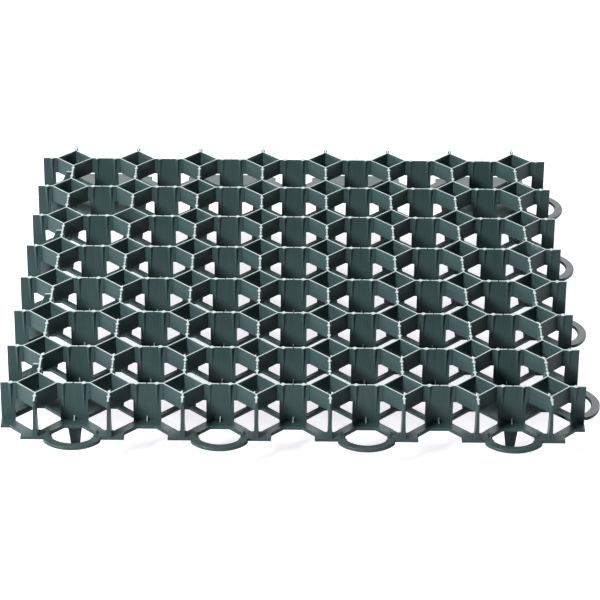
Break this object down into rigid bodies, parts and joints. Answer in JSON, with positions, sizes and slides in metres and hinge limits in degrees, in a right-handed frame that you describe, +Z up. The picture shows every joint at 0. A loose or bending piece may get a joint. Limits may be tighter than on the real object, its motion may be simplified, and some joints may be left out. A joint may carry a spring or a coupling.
{
  "type": "grass paver grid",
  "caption": "Square dark green plastic grass paver grid with octagonal and square cells, a holed base plate, flat connecting rings on two edges and short ground spikes.",
  "frame": {"origin": "middle of the square panel, on the plane of the base plate's underside", "axes": "+Z up out of the cells, +Y to the back edge, +X to the right; the connecting rings are on the -Y and +X edges"},
  "size_m": [0.5203, 0.5202, 0.063],
  "materials": {
    "green_plastic": "satin"
  },
  "bodies": {
    "root": {"paver_grid": "green_plastic"}
  },
  "joints": []
}
